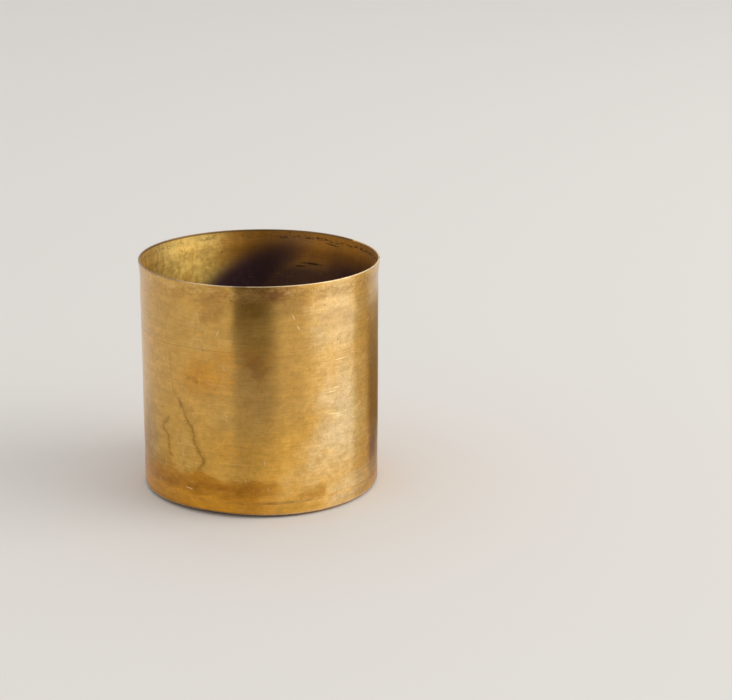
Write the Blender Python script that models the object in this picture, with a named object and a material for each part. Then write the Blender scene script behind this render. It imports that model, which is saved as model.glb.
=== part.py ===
"""Brass planter pot: a rolled sheet-brass wall brazed onto a pressed base pan.

The frame is in metres, +Z up, with the origin on the floor at the pot's axis.
The pot stands on the flat ring of its base pan and is open at the top.
"""

import math

import bmesh
import bpy
from mathutils import Matrix, Vector

# Driving dimensions.
BODY_RADIUS = 0.0705
HEIGHT = 0.138
SHEET = 0.0010
FIT_GAP = 0.0003
ROUND_STEPS = 72

# Shape of the rolled wall, measured from its outer face.
LIP_HEIGHT = 0.008
LIP_FLARE = 0.0007
PINCH_DEPTH = 0.0003
PINCH_BELOW_LIP = 0.002
PINCH_SPREAD = 0.006
BELLY = 0.00015
BELLY_WAVES = 1.5
WALL_STATIONS = 7
LIP_STATIONS = 5

# Vertical seam where the rolled sheet meets itself.
SEAM_AZIMUTH = math.radians(38.5)
SEAM_WIDTH = 0.0018

# Pressed base pan: a flat standing ring, a raised middle, and an upstand whose
# top is set inward as a tongue that slips inside the wall.
PAN_TOP = 0.010
TONGUE_TOP = 0.015
GROOVE_HEIGHT = 0.0019
SHOULDER_RISE = 0.0006
CORNER_RADIUS = 0.003
CORNER_STEPS = 5
KICK_UP = 0.0012
KICK_RADIUS = 0.050
KICK_SLOPE = 0.008

BRASS = (0.61, 0.42, 0.16)
BRAZE = (0.66, 0.49, 0.24)


def clear_scene():
    """Removes whatever objects and meshes the file already holds."""
    for old in list(bpy.data.objects):
        bpy.data.objects.remove(old, do_unlink=True)
    for mesh in list(bpy.data.meshes):
        bpy.data.meshes.remove(mesh)


def metal(name, colour, roughness):
    """A bare metal finish."""
    material = bpy.data.materials.new(name)
    material.use_nodes = True
    surface = material.node_tree.nodes["Principled BSDF"]
    surface.inputs["Base Color"].default_value = (*colour, 1.0)
    surface.inputs["Metallic"].default_value = 1.0
    surface.inputs["Roughness"].default_value = roughness
    return material


def smoothstep(x):
    """Rises smoothly from 0 to 1 as x goes from 0 to 1."""
    x = min(max(x, 0.0), 1.0)
    return x * x * (3.0 - 2.0 * x)


def wall_radius(z):
    """Outer radius of the wall at height z: a near-straight tube whose top is drawn in
    a little and then flared out into a lip."""
    lip_start = HEIGHT - LIP_HEIGHT
    flare = LIP_FLARE * smoothstep((z - lip_start) / LIP_HEIGHT)
    pinch_middle = lip_start - PINCH_BELOW_LIP
    pinch = PINCH_DEPTH * math.exp(-(((z - pinch_middle) / PINCH_SPREAD) ** 2))
    share = (z - PAN_TOP) / (lip_start - PAN_TOP)
    belly = BELLY * math.sin(math.tau * BELLY_WAVES * share) if 0.0 < share < 1.0 else 0.0
    return BODY_RADIUS + flare - pinch + belly


def spaced(low, high, count):
    """count + 1 evenly spaced values from low to high."""
    return [low + (high - low) * i / count for i in range(count + 1)]


def wall_outline():
    """Closed outline of the wall's sheet, as (radius, height) points."""
    lip_start = HEIGHT - LIP_HEIGHT
    heights = spaced(PAN_TOP, lip_start, WALL_STATIONS) + spaced(lip_start, HEIGHT, LIP_STATIONS)[1:]
    outer = [(wall_radius(z), z) for z in heights]
    inner = [(radius - SHEET, z) for radius, z in reversed(outer)]
    return outer + inner


def corner(centre_radius, centre_height, radius):
    """A quarter round from straight down to straight out."""
    angles = spaced(-math.pi / 2.0, 0.0, CORNER_STEPS)
    return [
        (centre_radius + radius * math.cos(a), centre_height + radius * math.sin(a)) for a in angles
    ]


def pan_outline():
    """Open outline of the base pan's sheet, from the axis below to the axis above."""
    shoulder = PAN_TOP - GROOVE_HEIGHT
    tongue = BODY_RADIUS - SHEET - FIT_GAP
    under = [(0.0, KICK_UP), (KICK_RADIUS - KICK_SLOPE, KICK_UP), (KICK_RADIUS, 0.0)]
    under += corner(BODY_RADIUS - CORNER_RADIUS, CORNER_RADIUS, CORNER_RADIUS)
    under += [(BODY_RADIUS, shoulder), (tongue, shoulder + SHOULDER_RISE), (tongue, TONGUE_TOP)]
    inside = [(tongue - SHEET, TONGUE_TOP), (tongue - SHEET, shoulder + SHOULDER_RISE - SHEET)]
    inside += [(BODY_RADIUS - SHEET, shoulder - SHEET)]
    inside += reversed(corner(BODY_RADIUS - CORNER_RADIUS, CORNER_RADIUS, CORNER_RADIUS - SHEET))
    inside += [(KICK_RADIUS, SHEET), (KICK_RADIUS - KICK_SLOPE, KICK_UP + SHEET)]
    inside += [(0.0, KICK_UP + SHEET)]
    return under + inside


def base_braze_outline():
    """Closed outline of the filler in the groove between the pan's shoulder and the wall."""
    shoulder = PAN_TOP - GROOVE_HEIGHT
    slope = SHOULDER_RISE / (SHEET + FIT_GAP)
    inner = BODY_RADIUS - SHEET
    top = PAN_TOP - FIT_GAP
    return [
        (BODY_RADIUS, shoulder + FIT_GAP),
        (BODY_RADIUS, top),
        (inner, top),
        (inner, shoulder + FIT_GAP + slope * SHEET),
    ]


def turned(name, outline, closed, material):
    """A body of revolution about the Z axis from an outline of (radius, height) points."""
    shape = bmesh.new()
    points = [shape.verts.new((radius, 0.0, height)) for radius, height in outline]
    edges = [shape.edges.new(pair) for pair in zip(points, points[1:])]
    if closed:
        edges.append(shape.edges.new((points[-1], points[0])))
    bmesh.ops.spin(
        shape,
        geom=points + edges,
        cent=(0.0, 0.0, 0.0),
        axis=(0.0, 0.0, 1.0),
        angle=math.tau,
        steps=ROUND_STEPS,
        use_merge=True,
    )
    bmesh.ops.remove_doubles(shape, verts=shape.verts, dist=1e-6)
    bmesh.ops.recalc_face_normals(shape, faces=shape.faces)
    mesh = bpy.data.meshes.new(name)
    shape.to_mesh(mesh)
    shape.free()
    mesh.materials.append(material)
    mesh.shade_smooth()
    mesh.set_sharp_from_angle(angle=math.radians(35.0))
    body = bpy.data.objects.new(name, mesh)
    bpy.context.scene.collection.objects.link(body)
    return body


def seam_block(name, width):
    """A guide block across the wall at the seam, which a Boolean cuts or keeps."""
    reach = BODY_RADIUS / 2.0
    shape = bmesh.new()
    bmesh.ops.create_cube(shape, size=1.0)
    bmesh.ops.scale(shape, vec=Vector((reach, width, HEIGHT * 1.2)), verts=shape.verts)
    bmesh.ops.translate(shape, vec=Vector((BODY_RADIUS, 0.0, HEIGHT / 2.0)), verts=shape.verts)
    mesh = bpy.data.meshes.new(name)
    shape.to_mesh(mesh)
    shape.free()
    block = bpy.data.objects.new(name, mesh)
    block.matrix_world = Matrix.Rotation(SEAM_AZIMUTH, 4, "Z")
    block.hide_render = True
    block.display_type = "WIRE"
    bpy.context.scene.collection.objects.link(block)
    return block


def shape_with(body, block, operation):
    """Cuts the body by the block, or keeps only what lies inside the block."""
    boolean = body.modifiers.new("seam", "BOOLEAN")
    boolean.operation = operation
    boolean.solver = "EXACT"
    boolean.object = block


def side_wall(brass):
    """The sheet rolled into a tube, with the open slot where its two edges meet."""
    wall = turned("side_wall", wall_outline(), True, brass)
    shape_with(wall, seam_block("seam_slot", SEAM_WIDTH + 2.0 * FIT_GAP), "DIFFERENCE")
    return wall


def side_seam_braze(braze):
    """The strip of filler metal that closes the wall's vertical slot."""
    strip = turned("side_seam_braze", wall_outline(), True, braze)
    shape_with(strip, seam_block("seam_strip", SEAM_WIDTH), "INTERSECT")
    return strip


def build_pot():
    """Makes the four pieces and hangs them on one empty at the pot's foot."""
    brass = metal("aged_brass", BRASS, 0.36)
    braze = metal("braze_metal", BRAZE, 0.42)
    pieces = [
        side_wall(brass),
        side_seam_braze(braze),
        turned("base_pan", pan_outline(), False, brass),
        turned("base_seam_braze", base_braze_outline(), True, braze),
    ]
    foot = bpy.data.objects.new("pot_foot", None)
    bpy.context.scene.collection.objects.link(foot)
    for piece in pieces:
        piece.parent = foot


clear_scene()
build_pot()
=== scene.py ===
"""Looks of the brass planter pot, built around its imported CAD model.

The pot is sheet brass: a rolled wall, a pressed base pan and two braze joints. Every piece here
replaces the CAD node of the same part with a finer mesh of the same size, and wears an
unlacquered, brushed and tarnished brass made from shader nodes. The shapes and the stage are in
metres; the patches, the marks and the shader nodes are in millimetres.
"""

import math

import bmesh
import bpy
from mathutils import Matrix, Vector, noise


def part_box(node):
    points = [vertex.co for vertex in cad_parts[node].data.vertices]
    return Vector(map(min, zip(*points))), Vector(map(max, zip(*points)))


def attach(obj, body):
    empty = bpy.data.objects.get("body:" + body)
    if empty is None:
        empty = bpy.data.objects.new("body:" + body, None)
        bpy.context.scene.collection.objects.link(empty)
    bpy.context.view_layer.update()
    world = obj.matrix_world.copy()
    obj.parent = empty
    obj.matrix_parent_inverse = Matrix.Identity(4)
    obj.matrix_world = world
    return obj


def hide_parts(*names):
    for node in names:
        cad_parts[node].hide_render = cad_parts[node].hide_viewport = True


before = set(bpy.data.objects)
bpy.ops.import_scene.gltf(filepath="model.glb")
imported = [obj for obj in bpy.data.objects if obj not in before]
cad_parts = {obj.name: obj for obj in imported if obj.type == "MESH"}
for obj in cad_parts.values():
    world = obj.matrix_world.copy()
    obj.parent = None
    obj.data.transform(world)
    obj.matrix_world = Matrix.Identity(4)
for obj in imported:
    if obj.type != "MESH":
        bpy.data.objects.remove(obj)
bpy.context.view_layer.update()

# Sizes read from the frame.
WALL_LOW, WALL_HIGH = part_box("side_wall")
PAN_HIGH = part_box("base_pan")[1]
RING_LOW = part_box("base_seam_braze")[0]
SEAM_LOW, SEAM_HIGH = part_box("side_seam_braze")
HEIGHT = float(WALL_HIGH[2])
WALL_FOOT = float(WALL_LOW[2])
BODY_RADIUS = float(PAN_HIGH[0])
RIM_RADIUS = float(WALL_HIGH[0])
TONGUE_TOP = float(PAN_HIGH[2])
GROOVE_FOOT = float(RING_LOW[2])
SEAM_AZIMUTH = math.atan2(float(SEAM_LOW[1] + SEAM_HIGH[1]), float(SEAM_LOW[0] + SEAM_HIGH[0]))

# Sizes of the sheet and its joints that the frame's boxes don't give.
SHEET = 0.0010
LIP_HEIGHT = 0.011
PINCH_DEPTH = 0.0002
PINCH_HEIGHT = HEIGHT - 0.010
PINCH_SPREAD = 0.006
RIM_ROUND = 0.00035
FOOT_CHAMFER = 0.00003
CORNER_RADIUS = 0.003
KICK_UP = 0.0012
KICK_RADIUS = 0.050
KICK_SLOPE = 0.008
SPUN_RIPPLE = 0.00004
SPUN_RINGS = 40.0
STAND_OFF = 0.0018
TONGUE_GAP = 0.0003
TONGUE_FOOT = GROOVE_FOOT + 0.0006
TONGUE_CHAMFER = 0.0002
SEAM_HALF_WIDTH = 0.0009
SEAM_LAP = 0.0002
SEAM_CROWN = 0.00006
SEAM_RIPPLE = 0.00004
SEAM_SUNK = 0.00002
RING_RIPPLE = 0.00001
RING_OVERLAP = 0.0001

# Mesh density.
WALL_STEPS = 432
PAN_STEPS = 360
SEAM_STEPS = 10
BODY_ROWS = 78
LIP_ROWS = 18
LIP_ZONE = 0.014
FLOOR_STEPS = 56
ARC_STEPS = 8
HUB_RADIUS = 0.00002
CRISP_ANGLE = math.radians(40.0)

FRONT = math.radians(-90.0)
MM = 1000.0
TURN_MM = math.tau * BODY_RADIUS * MM


# ---------------------------------------------------------------- shape of the sheet


def smoothstep(x):
    """Rises smoothly from 0 to 1 as x goes from 0 to 1."""
    x = min(max(x, 0.0), 1.0)
    return x * x * (3.0 - 2.0 * x)


def mix(a, b, share):
    return a + (b - a) * share


def wander(azimuth, z, reach, seed):
    """Smooth noise over the pot, about -1 to 1, whose features are about reach across."""
    scale = 1.0 / reach
    place = Vector((math.cos(azimuth) * BODY_RADIUS, math.sin(azimuth) * BODY_RADIUS, z))
    return noise.noise(place * scale + Vector((seed, -seed, seed * 0.5)))


# Small knocks in the wall: azimuth from the front in degrees, height, spread and depth.
KNOCKS = (
    (-14.0, 0.088, 0.010, 0.00022),
    (28.0, 0.052, 0.013, 0.00020),
    (-47.0, 0.044, 0.009, 0.00022),
    (63.0, 0.101, 0.008, 0.00016),
    (-96.0, 0.071, 0.012, 0.00026),
    (134.0, 0.036, 0.010, 0.00024),
    (168.0, 0.094, 0.014, 0.00022),
    (-151.0, 0.058, 0.009, 0.00018),
)


def knocks(azimuth, z):
    """How far the small knocks push the wall inward here."""
    depth = 0.0
    for degrees, height, spread, push in KNOCKS:
        turn = math.remainder(azimuth - FRONT - math.radians(degrees), math.tau)
        across, up = turn * BODY_RADIUS / spread, (z - height) / spread
        depth += push * math.exp(-(across * across + up * up))
    return depth


def unevenness(azimuth, z):
    """How far handwork leaves the wall in or out of a true round."""
    oval = 0.00012 * math.cos(2.0 * (azimuth - FRONT) + 0.7)
    slow = 0.00022 * wander(azimuth, z, 0.060, 3.1)
    planished = 0.00006 * wander(azimuth, z, 0.018, 11.7)
    fade = 0.35 + 0.65 * smoothstep(z / 0.030)
    return (oval + slow + planished - knocks(azimuth, z)) * fade


def seam_pull(azimuth):
    """The sheet's edges flatten a little beside the vertical seam."""
    arc = math.remainder(azimuth - SEAM_AZIMUTH, math.tau) * BODY_RADIUS
    return -0.00015 * math.exp(-((arc / 0.006) ** 2))


def lip_flare(azimuth, z):
    """The top of the wall is drawn in a little, then flared out."""
    wave = 1.0 + 0.12 * wander(azimuth, 0.0, 0.035, 7.3)
    flare = (RIM_RADIUS - BODY_RADIUS) * smoothstep((z - HEIGHT + LIP_HEIGHT) / LIP_HEIGHT)
    pinch = PINCH_DEPTH * math.exp(-(((z - PINCH_HEIGHT) / PINCH_SPREAD) ** 2))
    return flare * wave - pinch


def outer_radius(azimuth, z):
    """Radius of the pot's outer face."""
    return BODY_RADIUS + lip_flare(azimuth, z) + unevenness(azimuth, z) + seam_pull(azimuth)


def rim_height(azimuth):
    """The cut edge rises and falls slightly round the pot."""
    return HEIGHT - 0.00012 + 0.00010 * wander(azimuth, 0.3, 0.030, 5.9)


# ---------------------------------------------------------------- meshes


def new_piece(name, points, faces, groups, materials):
    """An object from points, faces and each face's material number."""
    mesh = bpy.data.meshes.new(name)
    mesh.from_pydata(points, [], faces)
    for material in materials:
        mesh.materials.append(material)
    mesh.polygons.foreach_set("material_index", groups)
    mesh.shade_smooth()
    piece = bpy.data.objects.new(name, mesh)
    bpy.context.scene.collection.objects.link(piece)
    return piece


def face_out(piece):
    """Turns every face of a closed piece outward and keeps its real edges crisp."""
    shape = bmesh.new()
    shape.from_mesh(piece.data)
    bmesh.ops.recalc_face_normals(shape, faces=shape.faces)
    shape.to_mesh(piece.data)
    shape.free()
    piece.data.set_sharp_from_angle(angle=CRISP_ANGLE)


def swept(name, loop, azimuths, whole_turn, materials):
    """A sheet body: loop(azimuth) gives a closed outline of (radius, z, material) round the sheet,
    which is carried through the azimuths. An open sweep is capped at both ends."""
    rings = [loop(a) for a in azimuths]
    count = len(rings[0])
    points, faces, groups = [], [], []
    for azimuth, ring in zip(azimuths, rings):
        c, s = math.cos(azimuth), math.sin(azimuth)
        points += [(r * c, r * s, z) for r, z, _ in ring]
    steps = len(azimuths) if whole_turn else len(azimuths) - 1
    for i in range(steps):
        here, there = i * count, ((i + 1) % len(azimuths)) * count
        for j in range(count):
            k = (j + 1) % count
            faces.append((here + j, there + j, there + k, here + k))
            groups.append(rings[0][j][2])
    if not whole_turn:
        faces.append(tuple(range(count)))
        faces.append(tuple(reversed(range(len(points) - count, len(points)))))
        groups += [0, 0]
    piece = new_piece(name, points, faces, groups, materials)
    face_out(piece)
    return piece


def spread(low, high, count):
    """count + 1 evenly spaced values from low to high."""
    return [mix(low, high, i / count) for i in range(count + 1)]


def wall_rows():
    """Heights of the wall's rows, closer together in the lip."""
    lip_start = HEIGHT - LIP_ZONE
    body = spread(WALL_FOOT, lip_start, BODY_ROWS)
    lip = spread(lip_start, HEIGHT - 0.0005, LIP_ROWS)
    return body + lip[1:]


def wall_loop(azimuth):
    """The wall's outline at one azimuth: up the outer face, over the rim and down the inner one."""
    top = rim_height(azimuth)
    heights = [min(z, top - RIM_ROUND) for z in wall_rows()]
    outer = [(outer_radius(azimuth, z), z, 0) for z in heights]
    crest = outer_radius(azimuth, top) - SHEET / 2.0
    over = []
    for a in spread(0.0, math.pi, 2 * ARC_STEPS):
        c, s = math.cos(a), math.sin(a)
        squared = math.copysign(abs(c) ** 0.55, c)
        over.append((crest + SHEET / 2.0 * squared, top - RIM_ROUND + RIM_ROUND * s**0.75, 2))
    inner = [(r - SHEET, z, 1) for r, z, _ in reversed(outer)]
    outer[0] = (outer[0][0] - FOOT_CHAMFER, WALL_FOOT, 0)
    outer.insert(1, (outer[0][0] + FOOT_CHAMFER, WALL_FOOT + FOOT_CHAMFER, 0))
    return outer[:-1] + over + inner[1:]


def make_wall(materials):
    half = (SEAM_HALF_WIDTH - SEAM_LAP) / BODY_RADIUS
    azimuths = spread(SEAM_AZIMUTH + half, SEAM_AZIMUTH + math.tau - half, WALL_STEPS)
    return swept("rolled_wall", wall_loop, azimuths, False, materials)


def seam_loop(azimuth):
    """The braze strip's outline at one azimuth, a hair proud of the wall."""
    arc = math.remainder(azimuth - SEAM_AZIMUTH, math.tau) * BODY_RADIUS
    crown = SEAM_CROWN * (1.0 - (arc / (SEAM_HALF_WIDTH + SEAM_LAP)) ** 2)
    outline = []
    for r, z, group in wall_loop(azimuth):
        rise = crown + SEAM_RIPPLE * wander(azimuth, z, 0.004, 21.0) - SEAM_SUNK
        outline.append((r + rise if group == 0 else r - rise if group == 1 else r, z, group))
    return outline


def make_side_seam(materials):
    half = (SEAM_HALF_WIDTH + SEAM_LAP * 0.5) / BODY_RADIUS
    azimuths = spread(SEAM_AZIMUTH - half, SEAM_AZIMUTH + half, SEAM_STEPS)
    return swept("side_seam_fill", seam_loop, azimuths, False, materials)


def quarter(centre_radius, centre_z, radius, group):
    """A quarter round from straight down to straight out."""
    return [
        (centre_radius + radius * math.cos(a), centre_z + radius * math.sin(a), group)
        for a in spread(-math.pi / 2.0, 0.0, ARC_STEPS)
    ]


def dish(r):
    """Height of the underside of the base pan at radius r."""
    ripple = SPUN_RIPPLE * math.sin(r / BODY_RADIUS * SPUN_RINGS) * smoothstep((KICK_RADIUS - r) / 0.01)
    return KICK_UP * smoothstep((KICK_RADIUS - r) / KICK_SLOPE) + ripple


def stand_off(azimuth, r, z):
    """How far the base stands clear of the floor here: a little, at the front left."""
    turn = math.degrees(math.remainder(azimuth - FRONT, math.tau))
    share = smoothstep(1.0 - abs(turn + 20.0) / 58.0) * smoothstep((r - 0.030) / 0.030)
    return STAND_OFF * share * (1.0 - smoothstep(z / 0.006))


def pan_loop(azimuth):
    """The base pan's outline: from the middle under it, round its corner, up the upstand, over the
    tongue and back inside. The middle is a tiny closed hub."""
    corner_centre = BODY_RADIUS - CORNER_RADIUS
    tongue = BODY_RADIUS - SHEET - TONGUE_GAP
    radii = spread(HUB_RADIUS, corner_centre, FLOOR_STEPS)
    under = [(r, dish(r), 2) for r in radii[:-1]]
    corner = quarter(corner_centre, CORNER_RADIUS, CORNER_RADIUS, 0)
    side = [(BODY_RADIUS, z, 0) for z in spread(CORNER_RADIUS, GROOVE_FOOT, 8)[1:]]
    shoulder = TONGUE_TOP - TONGUE_CHAMFER
    up = [(tongue, z, 1) for z in spread(TONGUE_FOOT, shoulder, 6)]
    lip = [(tongue - TONGUE_CHAMFER, TONGUE_TOP, 1), (tongue - SHEET + TONGUE_CHAMFER, TONGUE_TOP, 1)]
    down = [(tongue - SHEET, z, 1) for z in spread(shoulder, TONGUE_FOOT - SHEET, 8)]
    inside = [(BODY_RADIUS - SHEET, z, 1) for z in spread(GROOVE_FOOT - SHEET, CORNER_RADIUS, 5)]
    bowl = list(reversed(quarter(corner_centre, CORNER_RADIUS, CORNER_RADIUS - SHEET, 1)))
    floor = [(r, dish(r) + SHEET, 1) for r in reversed(radii[:-1])]
    outline = []
    for r, z, group in under + corner + side + up + lip + down + inside + bowl[1:] + floor:
        share = smoothstep((r - 0.060) / 0.008)
        outline.append((r + unevenness(azimuth, z) * share, z + stand_off(azimuth, r, z), group))
    return outline


def make_pan(materials):
    azimuths = spread(0.0, math.tau, PAN_STEPS)[:-1]
    return swept("pressed_base", pan_loop, azimuths, True, materials)


def base_braze_loop(azimuth):
    """The filler in the groove: dressed flush with the wall or a hair below it."""
    uneven = unevenness(azimuth, WALL_FOOT)
    swell = RING_RIPPLE * wander(azimuth, 0.0, 0.012, 31.0)
    low, high = GROOVE_FOOT - RING_OVERLAP, WALL_FOOT + RING_OVERLAP
    face = [(BODY_RADIUS + uneven - RING_RIPPLE + swell, z, 0) for z in spread(low, high, 6)]
    back = BODY_RADIUS - SHEET - RING_OVERLAP + uneven
    return face + [(back, high, 0), (back, GROOVE_FOOT + 0.0005, 0)]


def make_base_braze(materials):
    azimuths = spread(0.0, math.tau, PAN_STEPS)[:-1]
    return swept("base_joint_fill", base_braze_loop, azimuths, True, materials)


# ---------------------------------------------------------------- patina, and painted light and shade


def cloud(azimuth, z, size_mm, seed, octaves=4):
    """Cloudy noise over the pot, mostly 0.2 to 0.8 about a middle of 0.5."""
    total, weight = 0.0, 1.0
    reach = size_mm / MM
    for octave in range(octaves):
        total += weight * wander(azimuth, z, reach, seed + 3.7 * octave)
        weight *= 0.55
        reach *= 0.5
    return 0.5 + 0.5 * total


def round_arc(azimuth):
    """Distance in mm round the wall from the front line, positive to the right."""
    return math.remainder(azimuth - FRONT, math.tau) * BODY_RADIUS * MM


def near(arc, z, centre, reach, firm=0.0):
    """1 within firm of a centre in mm, fading to 0 at reach; both reaches are (round, up)."""
    across, up = (arc - centre[0]) / reach[0], (z - centre[1]) / reach[1]
    return smoothstep((1.0 - math.hypot(across, up)) / (1.0 - firm))


# Patches of patina in mm, some also painted light and shade as noted below: the centre round the
# wall from the front, its height, the reach round, the reach up and the strength.
AMBER_PATCHES = (
    (-30, 84, 30, 22, 0.85),
    (-12, 96, 18, 16, 0.55),
    (4, 92, 24, 26, 0.60),
    (22, 78, 20, 26, 0.35),
    (-8, 40, 30, 18, 0.35),
    (80, 74, 22, 60, 0.30),
    (128, 88, 36, 26, 0.60),
    (-128, 62, 40, 24, 0.65),
    (-196, 96, 44, 22, 0.60),
    (196, 50, 34, 26, 0.45),
)
OLIVE_PATCHES = (
    (-80, 44, 28, 44, 0.95),
    (50, 122, 22, 20, 0.35),
    (-60, 112, 46, 22, 0.30),
    (-16, 56, 16, 12, 0.45),
    (18, 128, 16, 12, 0.60),
    (76, 122, 20, 16, 0.55),
    (110, 52, 34, 30, 0.50),
    (-160, 100, 36, 20, 0.55),
    (-216, 48, 30, 34, 0.60),
)
UMBER_PATCHES = (
    # The patches round the front 128 to 134 mm up are tarnish and partly painted dark reflection,
    # carrying the dark band of the front up over the lip.
    (-50, 22, 20, 8, 0.60),
    (-74, 22, 18, 12, 0.55),
    (-2, 17, 13, 6, 0.50),
    (35, 14, 7, 8, 0.55),
    (-36, 80, 5, 4, 0.55),
    (-22, 72, 11, 4, 0.22),
    (0, 130, 16, 22, 0.45),
    (3, 88, 10, 14, 0.42),
    (-14, 73, 7, 5, 0.20),
    (4, 70, 6, 5, 0.22),
    (93, 24, 15, 22, 0.85),
    (-86, 30, 18, 28, 0.50),
    (-22, 128, 14, 20, 0.50),
    (50, 117, 20, 15, 0.28),
    (-66, 29, 15, 7, 0.40),
    (25, 128, 14, 16, 0.30),
    (13, 134, 17, 11, 0.80),
    (150, 22, 22, 10, 0.60),
    (-140, 20, 30, 8, 0.65),
    (-206, 26, 20, 12, 0.55),
    (-176, 84, 10, 6, 0.35),
)
CLEAN_AND_HIGHLIGHT_PATCHES = (
    # The first five lie where the window reflects: paler brass, partly painted highlight standing in
    # for the whiter sheen there.
    (54, 116, 34, 56, 0.72),
    (56, 56, 36, 66, 0.95),
    (50, 34, 34, 30, 0.60),
    (60, 10, 38, 18, 0.75),
    (28, 24, 24, 20, 0.35),
    (-46, 44, 13, 20, 0.10),
    (-32, 101, 14, 6, 0.30),
    (-34, 114, 18, 12, 0.20),
    (-206, 66, 44, 40, 0.38),
    (150, 100, 36, 30, 0.40),
    (-110, 96, 26, 34, 0.45),
)


def gather(patches, arc, z):
    """The strongest of some patches at a place on the wall, measured the short way round."""
    return max(
        strength * near(math.remainder(arc - x, TURN_MM), z - y, (0.0, 0.0), (rx, ry))
        for x, y, rx, ry, strength in patches
    )


def outer_patina_and_light(azimuth, z):
    """How pale, amber, umber and olive the outside is here, each 0 to 1, with painted highlight and
    painted shade among them.
    """
    arc, up = round_arc(azimuth), z * MM
    wide = cloud(azimuth, z, 46.0, 1.7)
    drift = cloud(azimuth, z, 17.0, 4.4)
    fine = cloud(azimuth, z * 1.6, 6.0, 9.3, 3)
    x = arc + 16.0 * (drift - 0.5) + 5.0 * (fine - 0.5)
    y = up + 12.0 * (wide - 0.5) + 6.0 * (fine - 0.5)
    paleness = gather(CLEAN_AND_HIGHLIGHT_PATCHES, x, y) + 0.12 * smoothstep((wide - 0.55) / 0.2)
    amber = gather(AMBER_PATCHES, x, y) + 0.10 * smoothstep((drift - 0.52) / 0.2)
    olive = gather(OLIVE_PATCHES, x, y) + 0.24 * smoothstep((0.46 - wide) / 0.2)
    # The tarnish round the foot has a scalloped top edge and thins out to the right of the front.
    scallop = up - 22.0 + 14.0 * (drift - 0.5) + 8.0 * (wide - 0.5) + 4.0 * (fine - 0.5)
    kept = 1.0 - 0.90 * near(arc, 0.0, (58.0, 0.0), (68.0, 1.0), 0.45)
    foot = smoothstep((3.0 - scallop) / 8.0) * smoothstep((up - 11.0 - 7.0 * (drift - 0.5)) / 5.0)
    umber = max(gather(UMBER_PATCHES, x, y), foot * kept * (0.25 + 0.65 * fine))
    amber = max(amber, 0.95 * smoothstep((28.0 - up - 12.0 * (drift - 0.5)) / 11.0) * kept)
    # Painted shade: the corner of the base is darkened at the left of the front, away from the light.
    darkened = smoothstep((6.0 - up) / 4.0) * near(arc, 0.0, (-70.0, 0.0), (60.0, 1.0), 0.3)
    return paleness, amber, max(umber, 0.40 * darkened), olive


def inner_patina_and_light(azimuth, z):
    """The same four for the inside, where the brown oxide deepens downward. Painted light and shade are
    mixed in: the side away from the window is painted darker and browner, the side it lights is painted
    yellow and pale, and the far wall has a painted dark core.
    """
    up = z * MM
    wide = cloud(azimuth, z, 40.0, 14.2)
    drift = cloud(azimuth, z, 15.0, 17.9)
    turn = math.degrees(math.remainder(azimuth - FRONT, math.tau)) % 360.0
    # Painted light and shade: the side turned away from the window is browner and darker, the lit side
    # yellow and paler.
    shaded = smoothstep((turn - 70.0) / 40.0) * smoothstep((214.0 - turn) / 26.0)
    level = mix(90.0, 135.0, shaded) + 8.0 * (wide - 0.5)
    deep = smoothstep((level - up) / 30.0)
    # Painted shade: a dark core on the far inner wall stands in for the dark reflection seen there.
    painted_dark_core = near(turn, up, (178.5 + 0.95 * (119.0 - max(up, 100.0)), 100.0), (34.5, 53.0), 0.2)
    umber = min(deep + 0.10 * smoothstep((drift - 0.45) / 0.3) * shaded, 0.82)
    # Painted shade: the top of the lit side is darkened against the light its flared lip catches.
    umber = max(umber, 0.26 * smoothstep((up - 124.0) / 10.0) * (1.0 - shaded))
    olive = (1.0 - shaded) * (0.55 + 0.9 * (drift - 0.5))
    amber = shaded * 0.8 * smoothstep((up - 108.0) / 16.0)
    paleness = (1.0 - shaded) * (0.45 + 0.8 * (wide - 0.5))
    return paleness, amber, max(umber, painted_dark_core), olive


def paint(piece):
    """Stores the patina, with the painted light and shade mixed into it, on a piece's points for its
    materials to read.
    """
    layer = piece.data.attributes.new("patina", "FLOAT_COLOR", "POINT")
    shares = []
    for vertex in piece.data.vertices:
        x, y, z = vertex.co
        azimuth, radius = math.atan2(y, x), math.hypot(x, y)
        inside = radius < outer_radius(azimuth, z) - SHEET / 2.0
        shares += (inner_patina_and_light if inside else outer_patina_and_light)(azimuth, z)
    layer.data.foreach_set("color", shares)


# ---------------------------------------------------------------- shader nodes


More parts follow.
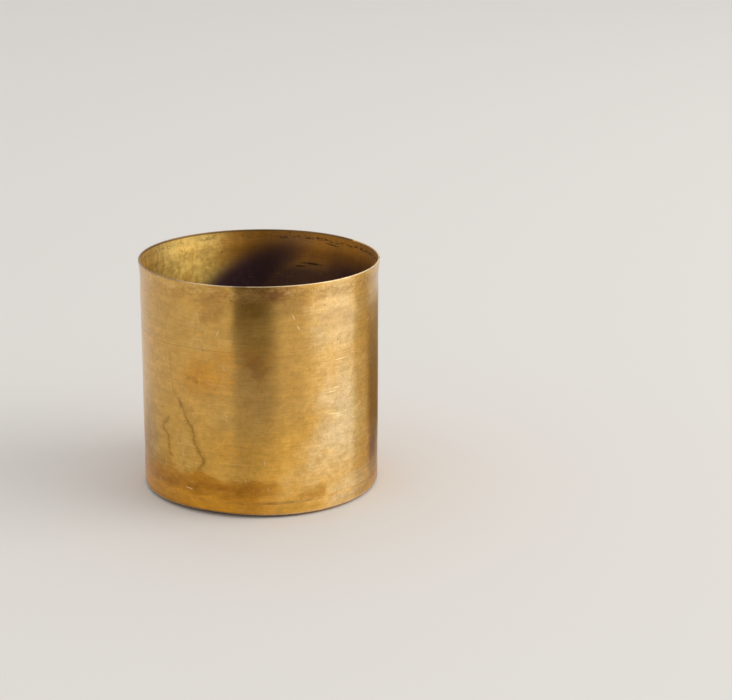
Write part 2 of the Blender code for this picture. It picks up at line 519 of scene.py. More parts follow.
class Graph:
    """Adds nodes to one material. Each method returns the socket it makes. Lengths are in mm."""

    def __init__(self, name):
        self.material = bpy.data.materials.new(name)
        self.material.use_nodes = True
        self.tree = self.material.node_tree
        self.surface = self.tree.nodes["Principled BSDF"]

    def feed(self, socket, value):
        if isinstance(value, bpy.types.NodeSocket):
            self.tree.links.new(value, socket)
        else:
            socket.default_value = value

    def add(self, kind, feeds, **settings):
        node = self.tree.nodes.new(kind)
        for key, value in settings.items():
            setattr(node, key, value)
        for socket, value in feeds.items():
            self.feed(node.inputs[socket], value)
        return node

    def math(self, operation, a, b=0.0, clamp=False):
        feeds = {0: a, 1: b}
        return self.add("ShaderNodeMath", feeds, operation=operation, use_clamp=clamp).outputs[0]

    def fold(self, operation, values):
        """Joins several values by one operation, from left to right."""
        result = values[0]
        for value in values[1:]:
            result = self.math(operation, result, value)
        return result

    def total(self, *values):
        return self.fold("ADD", values)

    def times(self, *values):
        return self.fold("MULTIPLY", values)

    def most(self, *values):
        return self.fold("MAXIMUM", values)

    def around(self, value, reach):
        """A 0 to 1 noise made to swing reach either side of 0."""
        return self.span(value, -reach, reach)

    def vector(self, operation, a, b=(0.0, 0.0, 0.0)):
        node = self.add("ShaderNodeVectorMath", {0: a, 1: b}, operation=operation)
        return node.outputs["Value" if operation in ("LENGTH", "DOT_PRODUCT") else "Vector"]

    def combine(self, x, y, z=0.0):
        return self.add("ShaderNodeCombineXYZ", {0: x, 1: y, 2: z}).outputs[0]

    def separate(self, vector):
        return self.add("ShaderNodeSeparateXYZ", {0: vector}).outputs

    def step(self, value, low, high):
        """0 at low and 1 at high, smooth between; low may be above high."""
        feeds = {"Value": value, "From Min": low, "From Max": high}
        return self.add("ShaderNodeMapRange", feeds, interpolation_type="SMOOTHSTEP").outputs[0]

    def span(self, value, low, high):
        """Carries 0 to 1 onto low to high."""
        feeds = {"Value": value, "To Min": low, "To Max": high}
        return self.add("ShaderNodeMapRange", feeds).outputs[0]

    def blend(self, share, a, b, mode="MIX"):
        feeds = {0: share, 6: a, 7: b}
        node = self.add("ShaderNodeMix", feeds, data_type="RGBA", blend_type=mode)
        return node.outputs[2]

    def shade(self, colour, value, low, high, dark, light):
        """Multiplies a colour by dark where value is at low, up to light where it is at high."""
        tone = self.blend(self.step(value, low, high), dark, light)
        return self.blend(1.0, colour, tone, "MULTIPLY")

    def noise(self, place, size, detail=3.0, roughness=0.5, distortion=0.0, shift=0.0):
        """Noise whose features are size mm across, as (around, up) or one number."""
        around, up = size if isinstance(size, tuple) else (size, size)
        feeds = {"Vector": place, "Location": (shift, -shift, 0.5 * shift)}
        feeds["Scale"] = (1.0 / around, 1.0 / around, 1.0 / up)
        scaled = self.add("ShaderNodeMapping", feeds).outputs[0]
        feeds = {"Vector": scaled, "Scale": 1.0, "Detail": detail, "Roughness": roughness}
        feeds["Distortion"] = distortion
        return self.add("ShaderNodeTexNoise", feeds).outputs["Fac"]

    def bump(self, height):
        """A normal from a height in mm."""
        feeds = {"Height": height, "Strength": 1.0, "Distance": 1.0 / MM}
        return self.add("ShaderNodeBump", feeds).outputs["Normal"]

    def curve(self, value, points, low, high):
        """A curve through points of (value, result), with results between low and high."""
        start, end = points[0][0], points[-1][0]
        feeds = {"Value": value, "From Min": start, "From Max": end}
        share = self.add("ShaderNodeMapRange", feeds).outputs[0]
        node = self.add("ShaderNodeFloatCurve", {"Value": share})
        line = node.mapping.curves[0]
        for index, (x, y) in enumerate(points):
            place = ((x - start) / (end - start), (y - low) / (high - low))
            if index in (0, len(points) - 1):
                line.points[0 if index == 0 else len(line.points) - 1].location = place
            else:
                line.points.new(*place)
        node.mapping.update()
        return self.span(node.outputs[0], low, high)

    def upright_line(self, place, points, width):
        """A line down the unrolled wall through points of (up, round), from low to high."""
        x, y, _ = self.separate(place)
        rounds = [r for _, r in points]
        path = self.curve(y, points, min(rounds), max(rounds))
        gap = self.math("ABSOLUTE", self.math("SUBTRACT", x, path))
        low, high = points[0][0], points[-1][0]
        ends = self.times(self.step(y, low - 0.5, low + 1.5), self.step(y, high + 0.5, high - 4.0))
        return self.times(self.step(gap, width, self.times(width, 0.25)), ends)

    def dash(self, place, x, y, length, width, lean):
        """One tapered scratch on the unrolled wall, leaning by lean degrees from level."""
        feeds = {"Vector": place, "Location": (x, y, 0.0), "Rotation": (0.0, 0.0, math.radians(lean))}
        feeds["Scale"] = (length / 2.0, width / 2.0, 1.0)
        local = self.add("ShaderNodeMapping", feeds, vector_type="TEXTURE").outputs[0]
        return self.step(self.vector("LENGTH", local), 1.0, 0.3)

    def cells(self, place, size, shift):
        """Voronoi cells on the unrolled wall: the way in mm from the cell's point, and three
        random numbers for each cell."""
        feeds = {"Vector": place, "Location": (shift, 2.0 * shift, 0.0)}
        feeds["Scale"] = (1.0 / size, 1.0 / size, 0.0)
        scaled = self.add("ShaderNodeMapping", feeds).outputs[0]
        feeds = {"Vector": scaled, "Scale": 1.0, "Randomness": 1.0}
        node = self.add("ShaderNodeTexVoronoi", feeds, voronoi_dimensions="2D", feature="F1")
        away = self.vector("SUBTRACT", scaled, node.outputs["Position"])
        away = self.vector("MULTIPLY", away, (size, size, 0.0))
        return away, self.separate(node.outputs["Color"])

    def scratches(self, place, size, shift, length, width, lean, scatter, share):
        """Short curved scratches, one in some of the cells: 1 along each and 0 elsewhere. They
        lean by lean degrees, give or take scatter."""
        away, chance = self.cells(place, size, shift)
        angle = self.span(chance[0], math.radians(lean - scatter), math.radians(lean + scatter))
        feeds = {"Vector": away, "Angle": angle}
        turned = self.add("ShaderNodeVectorRotate", feeds, rotation_type="Z_AXIS").outputs[0]
        x, y, _ = self.separate(turned)
        bent = self.math("ABSOLUTE", self.total(y, self.times(x, x, 0.5 / size)))
        run = self.math("DIVIDE", self.math("ABSOLUTE", x), self.span(chance[1], 0.35 * length, length))
        taper = self.step(run, 1.0, 0.2)
        thin = self.step(bent, self.times(width, taper), 0.0)
        return self.times(thin, taper, self.math("LESS_THAN", chance[2], share))

    def specks(self, place, size, shift, radius, share):
        """Small round specks in some of the cells."""
        away, chance = self.cells(place, size, shift)
        reach = self.span(chance[0], 0.4 * radius, radius)
        dot = self.step(self.vector("LENGTH", away), reach, self.times(reach, 0.4))
        return self.times(dot, self.math("LESS_THAN", chance[2], share))


def rgb(red, green, blue):
    return (red, green, blue, 1.0)


PALE_BRASS = rgb(0.77, 0.555, 0.270)
AGED = rgb(0.73, 0.410, 0.080)
OLIVE = rgb(0.60, 0.355, 0.085)
AMBER = rgb(0.72, 0.335, 0.030)
UMBER = rgb(0.40, 0.155, 0.014)
SOOT = rgb(0.040, 0.026, 0.018)
SILVERY = rgb(1.0, 0.80, 0.44)
FOOT_SHADE = rgb(0.085, 0.040, 0.010)
INNER_YELLOW = rgb(0.78, 0.55, 0.13)
INNER_AMBER = rgb(0.53, 0.245, 0.034)
INNER_PALE_AND_LIT = rgb(0.90, 0.64, 0.19)
INNER_OXIDE_AND_SHADE = rgb(0.083, 0.043, 0.056)

# What the cards on the stage show to reflections.
DARK_CARD = rgb(0.02, 0.018, 0.016)
SIDE_CARD = rgb(0.70, 0.595, 0.35)
BACK_CARD = rgb(0.27, 0.19, 0.085)

# The unrolled wall is cut where the seam is, so the front line isn't at 0 there.
FRONT_TURN = math.pi - (SEAM_AZIMUTH - FRONT)

# Marks on the unrolled wall in mm. Outlines of dried water, as (up, round from the front).
STAINS = (
    (
        (25.5, -36.5),
        (28, -33.5),
        (32, -31.2),
        (37, -33.5),
        (45, -37),
        (51, -38),
        (56, -41.5),
        (64, -45.5),
        (70, -50),
    ),
    ((30, -53), (36, -57), (43, -57.5), (47, -62), (52, -58.5), (57, -55)),
)
RUN_LINE = ((70, -50.5), (82, -53.5), (97, -54))
# Scratches outside: round, up, length, width and lean in degrees.
NICKS = (
    (22.8, 119.5, 5.0, 0.80, -68.0),
    (25.5, 113.0, 5.5, 0.96, -60.0),
    (-20.5, 110.5, 6.0, 0.72, 70.0),
    (-33.0, 119.5, 4.5, 0.64, -70.0),
    (5.6, 33.5, 6.0, 0.72, -86.0),
    (-5.6, 23.0, 3.5, 0.64, -75.0),
    (53.5, 90.8, 14.0, 0.80, 2.0),
    (46.0, 72.3, 10.0, 0.72, 1.0),
    (50.5, 74.4, 8.0, 0.56, -3.0),
    (48.5, 58.8, 14.0, 0.72, -13.0),
    (53.0, 56.8, 9.0, 0.56, -8.0),
    (68.5, 58.8, 10.0, 0.72, 14.0),
    (36.0, 37.0, 7.0, 0.48, 35.0),
    (39.0, 35.0, 6.0, 0.48, -22.0),
    (81.0, 108.0, 4.5, 1.12, 35.0),
    (-41.0, 14.5, 7.0, 0.88, -4.0),
    (118.0, 84.0, 10.0, 0.80, 24.0),
    (-118.0, 70.0, 12.0, 0.80, -30.0),
    (-190.0, 88.0, 9.0, 0.80, 62.0),
)
# Dark dashes inside, in the same order.
INNER_DASHES = (
    (-252.0, 117.6, 22.0, 1.9, 1.0),
    (-244.0, 115.4, 12.0, 1.4, -2.0),
    (-267.0, 131.5, 16.0, 1.3, 4.0),
    (118.0, 120.5, 9.0, 1.3, 2.0),
    (-120.0, 112.0, 12.0, 1.2, -2.0),
)


def positions(g):
    """The point in mm, and the unrolled wall: mm round from the front line, then height."""
    place = g.vector("MULTIPLY", g.add("ShaderNodeTexCoord", {}).outputs["Object"], (MM, MM, MM))
    c, s = math.cos(SEAM_AZIMUTH), math.sin(SEAM_AZIMUTH)
    x = g.vector("DOT_PRODUCT", place, (-c, -s, 0.0))
    y = g.vector("DOT_PRODUCT", place, (s, -c, 0.0))
    turn = g.math("SUBTRACT", g.math("ARCTAN2", y, x), FRONT_TURN)
    height = g.separate(place)[2]
    return place, g.combine(g.times(turn, BODY_RADIUS * MM), height), height


def patina(g):
    """The shares of paleness, amber, umber and olive painted on the points, painted highlight and shade
    among them.
    """
    node = g.add("ShaderNodeAttribute", {}, attribute_name="patina", attribute_type="GEOMETRY")
    paleness, amber, umber = g.separate(node.outputs["Color"])
    return paleness, amber, umber, node.outputs["Alpha"]


def finish_metal(g, colour, roughness, height, coat, lines=1.0):
    """A brushed metal under a thin clear oxide. The brush lines run round the pot."""
    tangent = g.add("ShaderNodeTangent", {}, direction_type="RADIAL", axis="Z").outputs[0]
    feeds = {
        "Base Color": colour,
        "Metallic": 1.0,
        "Roughness": roughness,
        "Anisotropic": lines,
        "Anisotropic Rotation": 0.25,
        "Coat Weight": coat,
        "Coat Roughness": 0.26,
        "Coat IOR": 1.7,
        "Tangent": tangent,
        "Normal": g.bump(height),
    }
    for socket, value in feeds.items():
        g.feed(g.surface.inputs[socket], value)
    return g.material


def aged_and_lit_colour(g, place, mottle):
    """The patina of the outside as painted on its points, with painted highlight and shade among it,
    its edges broken up by the mottling. Also gives the broad haze over it."""
    paleness, amber, umber, olive = patina(g)
    swing = g.around(mottle, 0.42)
    colour = g.blend(g.step(g.total(olive, swing), 0.1, 0.95), AGED, OLIVE)
    colour = g.blend(g.step(g.total(amber, swing), 0.1, 0.95), colour, AMBER)
    colour = g.blend(g.step(g.total(paleness, g.times(swing, 0.5)), 0.0, 1.0), colour, PALE_BRASS)
    soiled = g.total(umber, g.times(swing, 0.45))
    colour = g.blend(g.step(soiled, 0.0, 1.05), colour, UMBER)
    tide = g.times(g.step(soiled, 0.10, 0.24), g.step(soiled, 0.46, 0.28), g.step(umber, 0.04, 0.20))
    colour = g.blend(g.times(tide, 0.30), colour, rgb(0.66, 0.58, 0.42), "MULTIPLY")
    haze = g.noise(place, (11.0, 6.0), 6.0, 0.70, 0.4, shift=31.0)
    return g.shade(colour, haze, 0.36, 0.62, rgb(0.89, 0.875, 0.845), rgb(1.045, 1.045, 1.05)), haze


def lip_wear(g, colour, place, up, haze, fleck):
    """Residue in a broken band under the lip, rubbed through in flecks above it."""
    torn = g.noise(place, (5.0, 3.2), 6.0, 0.72, 0.8, shift=62.0)
    level = g.total(up, g.around(haze, 5.0))
    band = g.times(g.step(level, 124.0, 131.0), g.step(level, 136.0, 132.5))
    residue = g.times(band, g.step(torn, 0.44, 0.60))
    colour = g.blend(g.times(residue, 0.48), colour, rgb(0.62, 0.50, 0.32), "MULTIPLY")
    worn = g.times(g.step(level, 131.0, 134.0), g.step(torn, 0.52, 0.42), g.step(fleck, 0.40, 0.55))
    return g.blend(g.times(worn, 0.42), colour, rgb(0.88, 0.60, 0.24))


def scribed_lines(g, place, round_wall, up, broad):
    """A scribed line round the wall, broken by wear, with a fainter one above it."""
    waver = g.around(g.noise(place, (50.0, 400.0), 2.0, 0.5, shift=2.9), 1.6)
    low_line = g.math("ABSOLUTE", g.total(up, waver, -99.3))
    high_line = g.math("ABSOLUTE", g.total(up, waver, -103.0))
    scribed = g.most(g.step(low_line, 0.45, 0.1), g.times(g.step(high_line, 0.4, 0.1), 0.4))
    kept = g.span(g.step(round_wall, 6.0, -14.0), 0.35, 1.0)
    return g.times(scribed, g.step(broad, 0.40, 0.58), kept)


def water_marks(g, place, wall, fleck):
    """Outlines that a dried run of water left at the front left, and the dull edge along them."""
    jitter_x = g.around(g.noise(place, 2.6, 5.0, 0.78, shift=12.0), 3.2)
    jitter_y = g.around(g.noise(place, 2.6, 5.0, 0.78, shift=17.0), 3.2)
    shaken = g.vector("ADD", wall, g.combine(jitter_x, jitter_y))
    thick = g.span(g.step(g.noise(place, (6.0, 6.0), 3.0, 0.7, shift=41.0), 0.38, 0.62), 0.9, 2.2)
    stain = g.most(*(g.upright_line(shaken, points, thick) for points in STAINS))
    halo = g.most(*(g.upright_line(shaken, points, 3.8) for points in STAINS))
    run = g.upright_line(shaken, RUN_LINE, 1.2)
    broken = g.span(g.step(fleck, 0.36, 0.56), 0.50, 1.0)
    return g.times(g.most(stain, g.times(run, 0.30)), broken), halo


def bright_marks(g, wall, paleness, fleck):
    """The nicks, and those together with the fine scratches."""
    nicks = g.most(*(g.dash(wall, *nick) for nick in NICKS))
    nicks = g.times(nicks, g.span(g.step(fleck, 0.35, 0.6), 0.45, 1.0))
    fine = g.scratches(wall, 6.5, 1.3, 3.0, 0.20, 0.0, 85.0, 0.30)
    level = g.scratches(wall, 12.0, 5.1, 6.0, 0.26, 12.0, 20.0, 0.60)
    steep = g.scratches(wall, 17.0, 2.1, 4.0, 0.20, 80.0, 25.0, 0.14)
    bare = g.span(paleness, 0.30, 1.0)
    scratch = g.most(g.times(fine, 0.8, bare), g.times(level, bare), steep)
    return nicks, g.most(g.times(scratch, 0.75), nicks)


def foot_wear_and_shade(g, colour, place, wall, up, fleck):
    """Lines left where the foot was dressed, strongest at the right; the turn of the foot rubbed pale;
    and painted shade beneath it, darkest at the front left away from the light, which is also given
    back."""
    comb = g.noise(place, (130.0, 0.36), 2.0, 0.5, shift=51.0)
    dressed = g.times(g.step(comb, 0.50, 0.60), g.dash(wall, 80.0, 17.0, 60.0, 18.0, 5.0))
    colour = g.blend(g.times(dressed, 0.26), colour, SILVERY)
    rubbed = g.times(g.step(up, 1.4, 1.8), g.step(up, 2.9, 2.2), g.step(fleck, 0.34, 0.48))
    colour = g.blend(g.times(rubbed, 0.60), colour, SILVERY)
    # Painted shade: the foot's lowest band is darkened, most at the front left, standing in for the
    # shadow where it meets the floor.
    round_wall = g.separate(wall)[0]
    front = g.times(g.step(round_wall, 34.0, 8.0), g.step(round_wall, -190.0, -130.0))
    painted_foot_shade = g.times(g.step(up, 1.5, 0.9), g.span(front, 0.15, 1.0))
    return g.blend(g.times(painted_foot_shade, 0.95), colour, FOOT_SHADE), painted_foot_shade


def brass_outside():
    """The outside: brushed round, mottled, stained, scratched and worn."""
    g = Graph("brass_outside")
    place, wall, up = positions(g)
    paleness, _, umber, _ = patina(g)
    mottle = g.noise(place, 3.4, 5.0, 0.62, 0.3, shift=8.1)
    fleck = g.noise(place, 0.9, 3.0, 0.6, shift=2.2)
    lines = g.noise(place, (11.0, 0.42), 4.0, 0.65, shift=3.0)
    broad = g.noise(place, (30.0, 1.6), 3.0, 0.6, shift=1.0)
    rub = g.noise(place, (0.5, 9.0), 3.0, 0.6, shift=5.0)
    hair = g.noise(place, (6.0, 0.17), 2.0, 0.6, shift=9.0)

    colour, haze = aged_and_lit_colour(g, place, mottle)
    # Painted highlight: the metal is brightened at the lower right of the front, standing in for more
    # light reflected there.
    painted_highlight = g.dash(wall, 17.0, 24.0, 56.0, 88.0, 0.0)
    colour = g.blend(painted_highlight, colour, rgb(1.24, 1.22, 1.12), "MULTIPLY")
    colour = lip_wear(g, colour, place, up, haze, fleck)

    # Brushing, mottling and a faint rub up and down, as light and dark in the metal's colour.
    colour = g.shade(colour, lines, 0.30, 0.70, rgb(0.935, 0.93, 0.91), rgb(1.06, 1.065, 1.08))
    colour = g.shade(colour, broad, 0.32, 0.68, rgb(0.955, 0.95, 0.935), rgb(1.04, 1.045, 1.055))
    colour = g.shade(colour, rub, 0.25, 0.75, rgb(0.975, 0.975, 0.97), rgb(1.02, 1.02, 1.025))
    colour = g.shade(colour, hair, 0.30, 0.70, rgb(0.97, 0.97, 0.965), rgb(1.03, 1.03, 1.03))
    colour = g.shade(colour, mottle, 0.30, 0.70, rgb(0.92, 0.91, 0.89), rgb(1.06, 1.065, 1.075))
    colour = g.shade(colour, fleck, 0.30, 0.70, rgb(0.925, 0.92, 0.90), rgb(1.06, 1.06, 1.07))

    scribed = scribed_lines(g, place, g.separate(wall)[0], up, broad)
    stain, halo = water_marks(g, place, wall, fleck)
    dark = g.most(g.times(scribed, 0.55), g.times(stain, 0.95), g.times(halo, 0.22))
    colour = g.blend(dark, colour, rgb(0.60, 0.53, 0.36), "MULTIPLY")
    speck = g.most(g.specks(wall, 9.0, 3.3, 0.60, 0.08), g.specks(wall, 3.1, 7.9, 0.28, 0.06))
    colour = g.blend(g.times(speck, 0.75), colour, SOOT)
    nicks, bright = bright_marks(g, wall, paleness, fleck)
    colour = g.blend(bright, colour, SILVERY)
    colour, painted_foot_shade = foot_wear_and_shade(g, colour, place, wall, up, fleck)

    rough = g.total(
        0.29,
        g.times(g.step(mottle, 0.3, 0.7), 0.03),
        g.times(umber, 0.06),
        g.times(paleness, -0.03),
        g.times(dark, 0.12),
        g.times(painted_foot_shade, 0.5),
        g.times(nicks, 0.06),
    )
    height = g.total(
        g.times(lines, 0.0040),
        g.times(hair, 0.0015),
        g.times(mottle, 0.0024),
        g.times(scribed, -0.006),
    )
    coat = g.total(0.10, g.times(g.step(up, 22.0, 84.0), 0.38), g.times(paleness, 0.3))
    coat = g.times(coat, g.span(painted_foot_shade, 1.0, 0.1))
    return finish_metal(g, colour, rough, height, coat)


def brass_inside():
    """The inside: yellow and streaky under the rim, darkening to a brown oxide lower down, with painted
    light and shade: yellow on the lit side, dark on the side away from the window and in a core on the
    far wall.
    """
    g = Graph("brass_inside")
    place, wall, up = positions(g)
    paleness, amber, umber, olive = patina(g)
    lines = g.noise(place, (14.0, 0.5), 4.0, 0.65, shift=3.0)
    mottle = g.noise(place, 3.6, 5.0, 0.62, 0.3, shift=8.8)
    runs = g.noise(place, (2.4, 26.0), 3.0, 0.55, 0.2, shift=6.1)
    swing = g.around(mottle, 0.5)
    colour = g.blend(g.step(g.total(olive, swing), 0.1, 0.95), AGED, INNER_YELLOW)
    colour = g.blend(g.step(g.total(amber, swing), 0.1, 0.95), colour, INNER_AMBER)
    colour = g.blend(g.step(g.total(paleness, g.times(swing, 0.6)), 0.0, 1.0), colour, INNER_PALE_AND_LIT)
    # The oxide colour also paints the shade on the side away from the window and the dark core.
    colour = g.blend(g.step(g.total(umber, g.times(swing, 0.35)), 0.0, 1.0), colour, INNER_OXIDE_AND_SHADE)
    colour = g.shade(colour, lines, 0.30, 0.70, rgb(0.92, 0.91, 0.89), rgb(1.06, 1.06, 1.06))
    colour = g.shade(colour, runs, 0.30, 0.70, rgb(0.96, 0.955, 0.95), rgb(1.03, 1.03, 1.035))
    colour = g.shade(colour, mottle, 0.30, 0.70, rgb(0.80, 0.79, 0.77), rgb(1.15, 1.15, 1.16))

    # The floor of the pot is cloudy.
    clouds = g.noise(place, 18.0, 6.0, 0.65, 0.6, shift=71.0)
    cloudy = g.shade(colour, clouds, 0.34, 0.64, rgb(0.62, 0.60, 0.58), rgb(1.55, 1.45, 1.25))
    colour = g.blend(g.step(up, 14.0, 4.0), colour, cloudy)

    # Dirt left in a broken row under the lip, dark dashes lower down, and specks.
    wavy = g.total(up, g.around(g.noise(place, (12.0, 8.0), 3.0, 0.6, shift=4.9), 1.8))
    row = g.math("ABSOLUTE", g.total(wavy, -133.8))
    clumps = g.step(g.noise(place, (2.6, 0.9), 4.0, 0.7, shift=20.0), 0.49, 0.56)
    stretches = g.step(g.noise(place, (16.0, 40.0), 2.0, 0.5, shift=27.0), 0.42, 0.54)
    round_wall = g.separate(wall)[0]
    right = g.most(g.step(round_wall, 80.0, 124.0), g.step(round_wall, -205.0, -245.0))
    crumbs = g.times(g.step(row, 1.4, 0.3), clumps, g.most(g.times(stretches, 0.45), right))
    dashes = g.most(*(g.dash(wall, *mark) for mark in INNER_DASHES))
    dashes = g.times(dashes, g.step(g.noise(place, (1.5, 0.6), 3.0, 0.7, shift=23.0), 0.36, 0.46))
    speck = g.most(g.specks(wall, 9.0, 4.3, 0.65, 0.22), g.specks(wall, 3.6, 6.9, 0.32, 0.12))
    above = g.step(up, 8.0, 11.0)
    dark = g.times(g.most(crumbs, dashes, speck), above)
    colour = g.blend(g.times(dark, 0.85), colour, SOOT)
    scratch = g.times(g.scratches(wall, 9.0, 1.9, 4.0, 0.17, 4.0, 60.0, 0.3), above)
    colour = g.blend(g.times(scratch, 0.35), colour, PALE_BRASS)

    rough = g.total(0.47, g.times(umber, 0.08), g.times(mottle, 0.08), g.times(dark, 0.2))
    height = g.total(
        g.times(lines, 0.0060),
        g.times(mottle, 0.0090),
        g.times(dark, 0.015),
        g.times(scratch, -0.008),
    )
    return finish_metal(g, colour, rough, height, 0.28, 0.65)


def brass_edge():
    """The cut edge of the rim, worn bright, with tarnish left in places, and darker all along the left
    of the front.
    """
    g = Graph("brass_edge")
    place, wall, _ = positions(g)
    drift = g.noise(place, 11.0, 4.0, 0.6, shift=4.4)
    fleck = g.noise(place, 0.8, 3.0, 0.6, shift=2.2)
    # The rim is painted darker all along the left of the front.
    left = g.step(g.separate(wall)[0], -28.0, -52.0)
    darkened = g.most(g.times(g.step(drift, 0.52, 0.68), 0.7), left)
    colour = g.blend(g.times(darkened, 0.85), rgb(0.90, 0.68, 0.36), rgb(0.20, 0.10, 0.025))
    colour = g.blend(g.times(g.step(fleck, 0.52, 0.68), 0.35), colour, UMBER)
    rough = g.total(0.36, g.times(darkened, 0.1), g.times(fleck, 0.08))
    return finish_metal(g, colour, rough, g.times(fleck, 0.012), 0.35, 0.3)


def brass_under():
    """The underside of the base: spun rings, rubbed bright where it stands, dark at its edge with dirt
    and painted shade.
    """
    g = Graph("brass_under")
    place, _, up = positions(g)
    x, y, _ = g.separate(place)
    radius = g.math("SQRT", g.total(g.times(x, x), g.times(y, y)))
    ringed = g.combine(g.times(radius, 1.6), g.times(x, 0.02), g.times(y, 0.02))
    rings = g.noise(ringed, 1.0, 4.0, 0.6)
    clouds = g.noise(place, 22.0, 4.0, 0.6, 0.5, shift=3.7)
    mottle = g.noise(place, 3.0, 5.0, 0.62, 0.3, shift=8.8)
    colour = g.blend(g.step(clouds, 0.35, 0.65), AGED, rgb(0.42, 0.20, 0.035))
    colour = g.blend(g.times(g.step(mottle, 0.45, 0.7), 0.5), colour, AMBER)
    rubbed = g.times(g.step(up, 0.6, 0.1), g.step(mottle, 0.3, 0.55))
    colour = g.blend(g.times(rubbed, 0.6), colour, PALE_BRASS)
    # Dirt and painted shade: the edge of the underside is dark brown, keeping the floor in the gap
    # under the foot dark.
    dirt_and_shade = g.step(radius, 61.0, 67.0)
    colour = g.blend(g.times(dirt_and_shade, 0.75), colour, rgb(0.10, 0.045, 0.012))
    colour = g.shade(colour, rings, 0.3, 0.7, rgb(0.80, 0.80, 0.78), rgb(1.12, 1.12, 1.12))
    rough = g.total(0.40, g.times(mottle, 0.15), g.times(dirt_and_shade, 0.4))
    height = g.total(g.times(rings, 0.010), g.times(mottle, 0.008))
    return finish_metal(g, colour, rough, height, 0.3, 0.5)


def braze_metal():
    """Filler metal, a little paler than the sheet, dressed flush and slightly pitted."""
    g = Graph("braze_metal")
    place, _, _ = positions(g)
    lines = g.noise(place, (6.0, 0.4), 4.0, 0.65, shift=3.0)
    mottle = g.noise(place, 2.2, 5.0, 0.65, 0.3, shift=8.1)
    drift = g.noise(place, (9.0, 5.0), 4.0, 0.6, shift=4.4)
    pits = g.step(g.noise(place, 0.7, 3.0, 0.6, shift=6.3), 0.62, 0.72)
    paleness, amber, umber, _ = patina(g)
    colour = g.blend(g.step(mottle, 0.35, 0.65), rgb(0.66, 0.36, 0.070), rgb(0.76, 0.44, 0.11))
    colour = g.blend(g.times(paleness, 0.7), colour, PALE_BRASS)
    colour = g.blend(amber, colour, AMBER)
    colour = g.blend(g.most(umber, g.times(g.step(drift, 0.45, 0.7), 0.5)), colour, UMBER)
    colour = g.blend(g.times(pits, 0.5), colour, SOOT)
    colour = g.shade(colour, lines, 0.3, 0.7, rgb(0.88, 0.88, 0.86), rgb(1.1, 1.1, 1.1))
    rough = g.total(0.30, g.times(mottle, 0.12))
    height = g.total(g.times(lines, 0.006), g.times(mottle, 0.012), g.times(pits, -0.03))
    return finish_metal(g, colour, rough, height, 0.20)


# ---------------------------------------------------------------- stage


def make_floor():
    """A plain pale floor, far larger than the view."""
    g = Graph("pale_floor")
    g.feed(g.surface.inputs["Base Color"], rgb(0.74, 0.713, 0.672))
    g.feed(g.surface.inputs["Roughness"], 0.85)
    g.feed(g.surface.inputs["Specular IOR Level"], 0.2)
    shape = bmesh.new()
    bmesh.ops.create_circle(shape, cap_ends=True, radius=8.0, segments=96)
    mesh = bpy.data.meshes.new("stage_floor")
    shape.to_mesh(mesh)
    shape.free()
    mesh.materials.append(g.material)
    floor = bpy.data.objects.new("stage_floor", mesh)
    floor.location.z = -0.0001
    bpy.context.scene.collection.objects.link(floor)


def aim(thing, place, target):
    """Puts a lamp at place, looking at target."""
    thing.location = place
    thing.rotation_euler = (Vector(target) - Vector(place)).to_track_quat("-Z", "Y").to_euler()


def make_window(name, azimuth, distance, height, width, tall, power, colour, soft):
    """An area light at an azimuth from the front, turning to the right. It grows from dark to
    full brightness across the range soft of its width."""
    lamp = bpy.data.lights.new(name, "AREA")
    lamp.shape = "RECTANGLE"
    lamp.size, lamp.size_y = width, tall
    lamp.energy = power
    lamp.color = colour
    lamp.use_nodes = True
    tree = lamp.node_tree
    across = tree.nodes.new("ShaderNodeNewGeometry").outputs["Parametric"]
    split = tree.nodes.new("ShaderNodeSeparateXYZ")
    tree.links.new(across, split.inputs[0])
    fade = tree.nodes.new("ShaderNodeMapRange")
    fade.inputs["From Min"].default_value = soft[0]
    fade.inputs["From Max"].default_value = soft[1]
    tree.links.new(split.outputs[0], fade.inputs["Value"])
    tree.links.new(fade.outputs[0], tree.nodes["Emission"].inputs["Strength"])
    window = bpy.data.objects.new(name, lamp)
    a = math.radians(azimuth)
    place = (distance * math.sin(a), -distance * math.cos(a), height)
    aim(window, place, (0.0, 0.0, HEIGHT / 2.0))
    bpy.context.scene.collection.objects.link(window)


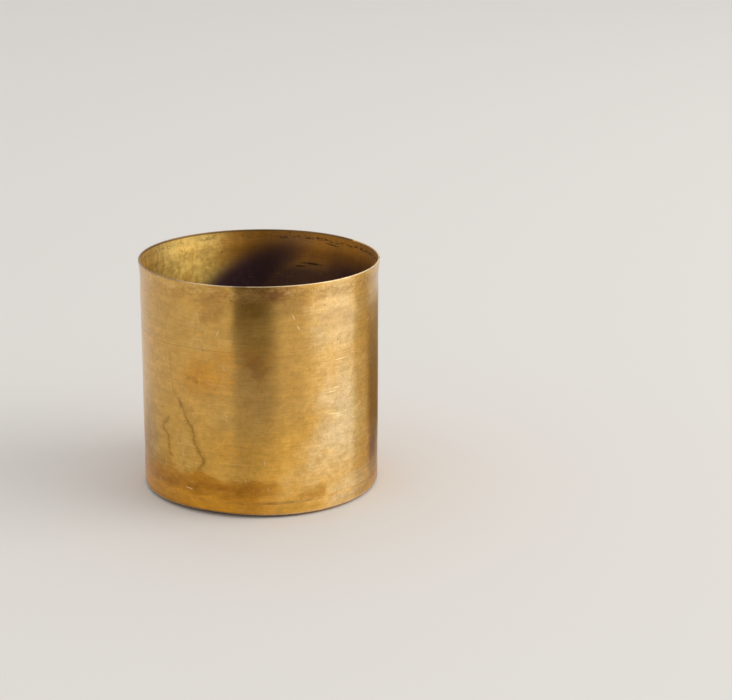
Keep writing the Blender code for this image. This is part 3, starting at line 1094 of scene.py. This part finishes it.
def make_flag(name, azimuth, distance, across, upright, tone, soft=(0.0, 0.0)):
    """A card that only reflections see, as a studio uses to shade a shiny surface. It fades over
    the soft widths at its left and right."""
    (left, right), (low, high) = across, upright
    g = Graph(name + "_card")
    g.tree.nodes.remove(g.surface)
    glow = g.add("ShaderNodeEmission", {"Color": tone, "Strength": 1.0}).outputs[0]
    clear = g.add("ShaderNodeBsdfTransparent", {}).outputs[0]
    x = g.separate(g.add("ShaderNodeTexCoord", {}).outputs["Object"])[0]
    fade_left = g.step(x, left - 0.001, left + soft[0])
    fade_right = g.step(x, right + 0.001, right - soft[1])
    solid = g.times(fade_left, fade_right)
    card_look = g.add("ShaderNodeMixShader", {0: solid, 1: clear, 2: glow}).outputs[0]
    g.feed(g.tree.nodes["Material Output"].inputs["Surface"], card_look)
    mesh = bpy.data.meshes.new(name)
    points = [(left, 0.0, low), (right, 0.0, low), (right, 0.0, high), (left, 0.0, high)]
    mesh.from_pydata(points, [], [(0, 1, 2, 3)])
    mesh.materials.append(g.material)
    card = bpy.data.objects.new(name, mesh)
    a = math.radians(azimuth)
    card.location = (distance * math.sin(a), -distance * math.cos(a), 0.0)
    card.rotation_euler.z = a
    card.visible_camera = False
    card.visible_diffuse = False
    card.visible_shadow = False
    bpy.context.scene.collection.objects.link(card)


def make_world(colour, strength):
    """An even, pale room."""
    world = bpy.data.worlds.new("soft_room")
    world.use_nodes = True
    background = world.node_tree.nodes["Background"]
    background.inputs["Color"].default_value = colour
    background.inputs["Strength"].default_value = strength
    bpy.context.scene.world = world


def make_camera():
    """The viewing angle: a long lens, 0.41 m up and 1.09 m in front, looking 16.8 degrees down."""
    data = bpy.data.cameras.new("camera")
    data.lens = 93.64
    data.sensor_width = 36.0
    data.shift_x = 0.0109
    data.shift_y = 0.0042
    camera = bpy.data.objects.new("camera", data)
    camera.location = (0.0584, -1.0907, 0.4075)
    camera.rotation_euler = (math.radians(90.0 - 16.783), 0.0, 0.0)
    camera.rotation_euler.rotate_axis("Z", math.radians(0.22))
    bpy.context.scene.collection.objects.link(camera)
    bpy.context.scene.camera = camera


# ---------------------------------------------------------------- assembly

outer = brass_outside()
inner = brass_inside()
edge = brass_edge()
under = brass_under()
filler = braze_metal()

PIECES = (
    (make_wall([outer, inner, edge]), "side_wall", "aged_brass"),
    (make_side_seam([filler, inner, filler]), "side_seam_braze", "braze_metal"),
    (make_pan([outer, inner, under]), "base_pan", "aged_brass"),
    (make_base_braze([filler]), "base_seam_braze", "braze_metal"),
)
for piece, node, slot in PIECES:
    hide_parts(node)
    paint(piece)
    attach(piece, "root")

make_floor()
make_world(rgb(0.80, 0.80, 0.81), 1.00)
make_window("key_window", 75.0, 3.2, 1.7, 4.15, 2.4, 96.0, (1.0, 0.97, 0.93), (0.0, 0.5))
make_flag("front_flag", -3.9, 0.22, (-0.074, 0.110), (0.050, 0.45), DARK_CARD, (0.030, 0.070))
make_flag("side_flag", 90.5, 0.129, (-0.0255, 0.025), (0.0, 0.13), SIDE_CARD)
make_flag("back_flag", 114.0, 0.131, (-0.035, 0.060), (0.0, 0.092), BACK_CARD)
make_camera()
bpy.context.scene.view_settings.view_transform = "Standard"
